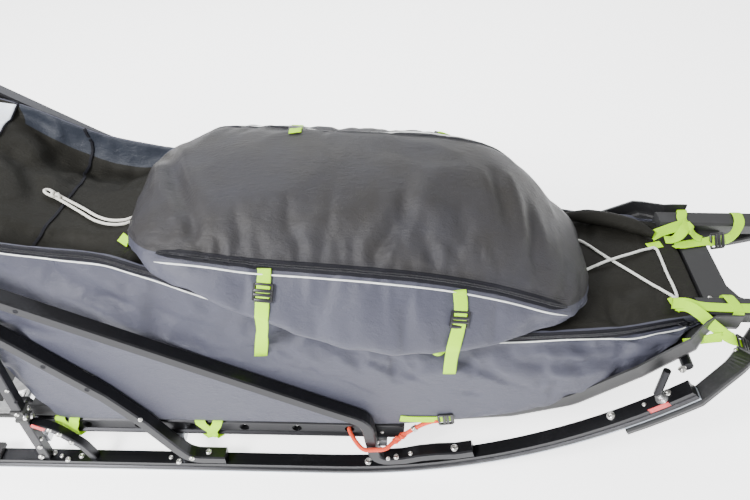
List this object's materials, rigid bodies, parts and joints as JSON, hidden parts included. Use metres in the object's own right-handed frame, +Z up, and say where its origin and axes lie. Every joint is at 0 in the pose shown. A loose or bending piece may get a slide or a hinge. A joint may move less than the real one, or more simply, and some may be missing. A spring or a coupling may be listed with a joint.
{
  "type": "dog sled",
  "caption": "Dog sled with bent runners, stays up to a handlebar, a plastic bed with a zipped load bag and a bag on top, a brush bow, a claw brake and a drag mat.",
  "frame": {"origin": "on the snow surface under the middle of the sled's overall box", "axes": "+X forward along the sled, +Y to its left, +Z up"},
  "size_m": [2.4761, 0.5588, 0.9501],
  "materials": {
    "black_alu": "black anodised, satin",
    "alu": "bare anodised, fine brushed",
    "steel": "bright zinc plated",
    "sole_plastic": "waxed running sole",
    "black_plastic": "matt",
    "rubber": "matt",
    "bag_fabric": "coated woven nylon, semi-matt",
    "top_fabric": "coated woven nylon, semi-matt",
    "rope": "braided polypropylene",
    "cord": "braided polyester"
  },
  "bodies": {
    "sled": {"runner_left": "black_alu", "runner_right": "black_alu", "sole_left": "sole_plastic", "sole_right": "sole_plastic", "footpad_left": "rubber", "footpad_right": "rubber", "long_stay_left": "black_alu", "long_stay_right": "black_alu", "short_stay_left": "black_alu", "short_stay_right": "black_alu", "foot_post_left": "black_alu", "foot_post_right": "black_alu", "rubber_joint_left": "rubber", "rubber_joint_right": "rubber", "upper_post_left": "black_alu", "upper_post_right": "black_alu", "rear_brace_left": "black_alu", "rear_brace_right": "black_alu", "bed_rail_left": "black_alu", "bed_rail_right": "black_alu", "rod_end_left": "steel", "rod_end_right": "steel", "tie_post_left": "black_alu", "tie_post_right": "black_alu", "bow_band_left": "black_plastic", "bow_band_right": "black_plastic", "pivot_lug_left": "black_alu", "pivot_lug_right": "black_alu", "handlebar": "black_alu", "grip": "rubber", "bed_tray": "black_plastic", "cross_bar_rear": "alu", "cross_bar_middle": "alu", "cross_bar_front": "alu", "nose_bar": "black_alu", "brush_bow": "black_plastic", "bow_plate": "black_plastic", "load_bag": "bag_fabric", "top_bag": "top_fabric", "rope": "rope", "drawcord": "cord"},
    "brake": {"brake": "steel"},
    "drag_mat": {"mat_hinge": "steel", "drag_mat": "rubber"}
  },
  "joints": [
    {"name": "brake_hinge", "type": "hinge", "parent": "sled", "child": "brake", "pos_m": [-0.59, 0, 0.122], "axis": [0, -1, 0], "range_deg": [0, 18], "stiffness_Nm_per_rad": 12, "springref_deg": -28.65},
    {"name": "mat_hinge", "type": "hinge", "parent": "sled", "child": "drag_mat", "pos_m": [-0.59, 0, 0.066], "axis": [0, 1, 0], "range_deg": [0, 60]}
  ]
}
